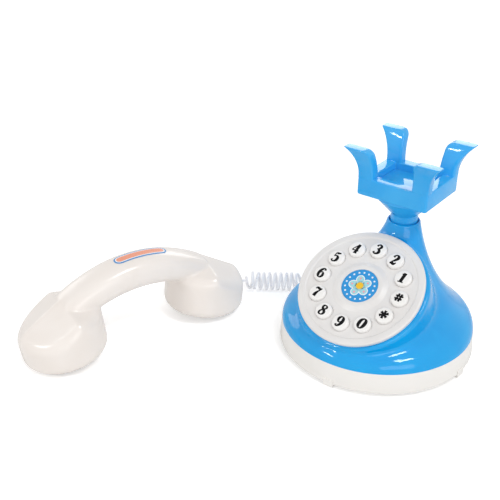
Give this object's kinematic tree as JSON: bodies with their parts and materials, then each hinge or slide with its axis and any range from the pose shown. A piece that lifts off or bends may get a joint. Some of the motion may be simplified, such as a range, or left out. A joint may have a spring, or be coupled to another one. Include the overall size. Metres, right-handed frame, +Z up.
{
  "type": "toy cradle telephone",
  "caption": "Toy cradle telephone: bell-shaped blue body on a white ring, sloping dial face with round push keys, sprung four-horned cradle, and a white handset on a short curly cord.",
  "frame": {"origin": "middle of the base's standing ring, on the table", "axes": "+Z up, the dial faces -Y, the handset lies to the left at -X"},
  "size_m": [0.2129, 0.2056, 0.114],
  "materials": {
    "white_abs": "gloss",
    "blue_abs": "gloss",
    "pearl_abs": "gloss",
    "dial_abs": "satin",
    "key_abs": "satin",
    "steel": "satin",
    "cell_can": "satin",
    "black_plastic": "matte",
    "speaker_paper": "matte",
    "printed_badge": "satin",
    "printed_label": "satin",
    "silicone": "matte",
    "circuit_board": "satin",
    "clear_vinyl": "gloss"
  },
  "bodies": {
    "base": {"lower_case": "white_abs", "body_shell": "blue_abs", "battery_door": "white_abs", "door_screw": "steel", "case_screws": "steel", "battery_cells": "cell_can", "battery_contacts": "steel", "speaker_frame": "black_plastic", "speaker_cone": "speaker_paper", "speaker_magnet": "steel", "dial_plate": "dial_abs", "dial_badge": "printed_badge", "key_mat": "silicone", "key_board": "circuit_board", "board_screws": "steel", "stem_guide": "white_abs", "hook_switch": "black_plastic", "hook_spring": "steel", "base_cord_gland": "clear_vinyl", "handset_cord": "clear_vinyl"},
    "cradle": {"cradle": "blue_abs", "cradle_stem": "blue_abs", "stem_screw": "steel", "stem_clip": "steel"},
    "handset": {"handset_upper": "pearl_abs", "handset_lower": "pearl_abs", "handset_screws": "steel", "handset_cord_gland": "pearl_abs", "handset_label": "printed_label"},
    "key_1": {"key_1": "key_abs"},
    "key_2": {"key_2": "key_abs"},
    "key_3": {"key_3": "key_abs"},
    "key_4": {"key_4": "key_abs"},
    "key_5": {"key_5": "key_abs"},
    "key_6": {"key_6": "key_abs"},
    "key_7": {"key_7": "key_abs"},
    "key_8": {"key_8": "key_abs"},
    "key_9": {"key_9": "key_abs"},
    "key_0": {"key_0": "key_abs"},
    "key_star": {"key_star": "key_abs"},
    "key_hash": {"key_hash": "key_abs"}
  },
  "joints": [
    {"name": "cradle_press", "type": "slide", "parent": "base", "child": "cradle", "axis": [0, 0, -1], "range_m": [0, 0.003], "stiffness_N_per_m": 80, "springref_m": -0.006, "deforming": ["hook_spring"]},
    {"name": "handset_lift", "type": "slide", "parent": "base", "child": "handset", "axis": [0, 0, 1], "range_m": [0, 0.12], "deforming": ["handset_cord"]},
    {"name": "key_1_press", "type": "slide", "parent": "base", "child": "key_1", "axis": [0, 0.5446, -0.8387], "range_m": [0, 0.0012], "stiffness_N_per_m": 600, "springref_m": -0.0006, "deforming": ["key_mat"]},
    {"name": "key_2_press", "type": "slide", "parent": "base", "child": "key_2", "axis": [0, 0.5446, -0.8387], "range_m": [0, 0.0012], "stiffness_N_per_m": 600, "springref_m": -0.0006, "deforming": ["key_mat"]},
    {"name": "key_3_press", "type": "slide", "parent": "base", "child": "key_3", "axis": [0, 0.5446, -0.8387], "range_m": [0, 0.0012], "stiffness_N_per_m": 600, "springref_m": -0.0006, "deforming": ["key_mat"]},
    {"name": "key_4_press", "type": "slide", "parent": "base", "child": "key_4", "axis": [0, 0.5446, -0.8387], "range_m": [0, 0.0012], "stiffness_N_per_m": 600, "springref_m": -0.0006, "deforming": ["key_mat"]},
    {"name": "key_5_press", "type": "slide", "parent": "base", "child": "key_5", "axis": [0, 0.5446, -0.8387], "range_m": [0, 0.0012], "stiffness_N_per_m": 600, "springref_m": -0.0006, "deforming": ["key_mat"]},
    {"name": "key_6_press", "type": "slide", "parent": "base", "child": "key_6", "axis": [0, 0.5446, -0.8387], "range_m": [0, 0.0012], "stiffness_N_per_m": 600, "springref_m": -0.0006, "deforming": ["key_mat"]},
    {"name": "key_7_press", "type": "slide", "parent": "base", "child": "key_7", "axis": [0, 0.5446, -0.8387], "range_m": [0, 0.0012], "stiffness_N_per_m": 600, "springref_m": -0.0006, "deforming": ["key_mat"]},
    {"name": "key_8_press", "type": "slide", "parent": "base", "child": "key_8", "axis": [0, 0.5446, -0.8387], "range_m": [0, 0.0012], "stiffness_N_per_m": 600, "springref_m": -0.0006, "deforming": ["key_mat"]},
    {"name": "key_9_press", "type": "slide", "parent": "base", "child": "key_9", "axis": [0, 0.5446, -0.8387], "range_m": [0, 0.0012], "stiffness_N_per_m": 600, "springref_m": -0.0006, "deforming": ["key_mat"]},
    {"name": "key_0_press", "type": "slide", "parent": "base", "child": "key_0", "axis": [0, 0.5446, -0.8387], "range_m": [0, 0.0012], "stiffness_N_per_m": 600, "springref_m": -0.0006, "deforming": ["key_mat"]},
    {"name": "key_star_press", "type": "slide", "parent": "base", "child": "key_star", "axis": [0, 0.5446, -0.8387], "range_m": [0, 0.0012], "stiffness_N_per_m": 600, "springref_m": -0.0006, "deforming": ["key_mat"]},
    {"name": "key_hash_press", "type": "slide", "parent": "base", "child": "key_hash", "axis": [0, 0.5446, -0.8387], "range_m": [0, 0.0012], "stiffness_N_per_m": 600, "springref_m": -0.0006, "deforming": ["key_mat"]}
  ]
}
